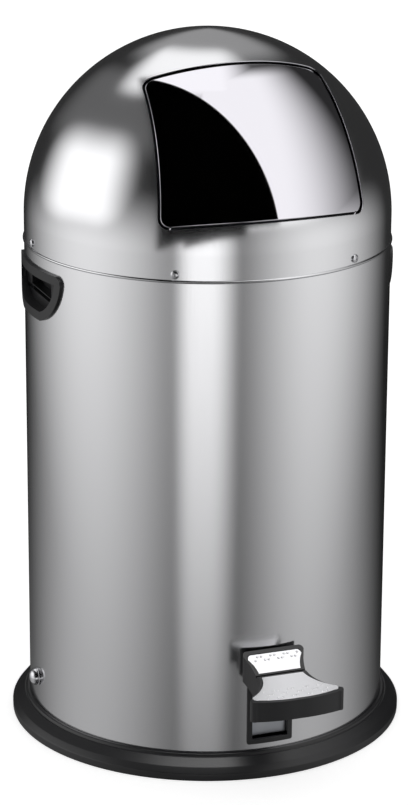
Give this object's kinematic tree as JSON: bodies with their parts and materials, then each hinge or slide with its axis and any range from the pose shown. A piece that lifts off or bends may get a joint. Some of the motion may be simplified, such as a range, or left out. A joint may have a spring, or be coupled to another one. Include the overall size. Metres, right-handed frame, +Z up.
{
  "type": "kick pedal trash can",
  "caption": "Tall round stainless bin with a domed top, a curved flap that swings up inside the dome when the foot pedal is pressed, side grips and a lift-out liner.",
  "frame": {"origin": "on the drum's axis at floor level", "axes": "+Z up; the flap and the pedal face -Y; +X is to the right as seen from the front, where right_grip is; the lift rod stands on the -X side"},
  "size_m": [0.3849, 0.4431, 0.68],
  "materials": {
    "satin_steel": "satin sheet with a fine vertical grain",
    "mirror_steel": "polished to a mirror",
    "pedal_steel": "bright sheet with rows of small dimples",
    "black_plastic": "smooth semi-matt moulding",
    "bright_hardware": "bright plated",
    "zinc_steel": "zinc-plated",
    "slot_steel": "bright sheet",
    "galvanised_steel": "galvanised, slightly dull",
    "white_nylon": "natural nylon",
    "grey_plastic": "matt",
    "black_rubber": "matt"
  },
  "bodies": {
    "base": {"base_moulding": "black_plastic", "base_screws": "zinc_steel", "floor_plate": "zinc_steel", "drum": "satin_steel", "liner_support": "zinc_steel", "slot_bezel": "black_plastic", "right_grip": "black_plastic", "left_grip": "black_plastic", "axle": "zinc_steel", "axle_cap_nuts": "bright_hardware", "axle_plates": "zinc_steel", "axle_sleeves": "zinc_steel", "stop_buffers": "black_rubber", "rod_guides": "white_nylon", "rod_grommet": "black_rubber"},
    "pedal": {"lever_tube": "zinc_steel", "lever_bushes": "white_nylon", "pedal_arm": "zinc_steel", "slot_shield": "slot_steel", "lift_crank": "zinc_steel", "pedal_body": "black_plastic", "kick_insert": "pedal_steel", "tread_insert": "pedal_steel", "pedal_screws": "zinc_steel"},
    "lift_rod": {"lift_rod": "zinc_steel", "rod_clip": "zinc_steel", "rod_shoe": "grey_plastic"},
    "dome": {"dome_shell": "satin_steel", "dome_collar": "zinc_steel", "dome_screws": "bright_hardware", "dome_nuts": "zinc_steel", "pivot_brackets": "zinc_steel", "pivot_pins": "zinc_steel", "pivot_clips": "zinc_steel"},
    "flap": {"flap_panel": "mirror_steel", "flap_backing": "zinc_steel", "left_flap_arm": "zinc_steel", "right_flap_arm": "zinc_steel", "flap_bushes": "white_nylon", "flap_roller": "white_nylon", "roller_pin": "zinc_steel", "flap_rivets": "bright_hardware"},
    "liner": {"liner_bucket": "galvanised_steel", "bail_grommets": "white_nylon"},
    "bail": {"bail_wire": "galvanised_steel", "bail_grip": "grey_plastic"}
  },
  "joints": [
    {"name": "pedal_press", "type": "hinge", "parent": "base", "child": "pedal", "pos_m": [0, 0, 0.051], "axis": [1, 0, 0], "range_deg": [0, 10.5]},
    {"name": "rod_lift", "type": "slide", "parent": "base", "child": "lift_rod", "axis": [0, 0, 1], "range_m": [0, 0.0132]},
    {"name": "dome_lift", "type": "slide", "parent": "base", "child": "dome", "axis": [0, 0, 1], "range_m": [0, 0.8]},
    {"name": "flap_swing", "type": "hinge", "parent": "dome", "child": "flap", "pos_m": [0, 0, 0.505], "axis": [-1, 0, 0], "range_deg": [0, 52.05]},
    {"name": "liner_lift", "type": "slide", "parent": "base", "child": "liner", "axis": [0, 0, 1], "range_m": [0, 0.4]},
    {"name": "bail_swing", "type": "hinge", "parent": "liner", "child": "bail", "pos_m": [0, 0, 0.448], "axis": [0, -1, 0], "range_deg": [0, 180]}
  ],
  "couplings": [
    {"joint": "rod_lift", "follows": "pedal_press", "m_per_rad": 0.0718},
    {"joint": "flap_swing", "follows": "pedal_press", "ratio": 4.952},
    {"joint": "liner_lift", "follows": "dome_lift", "ratio": 0.5}
  ]
}
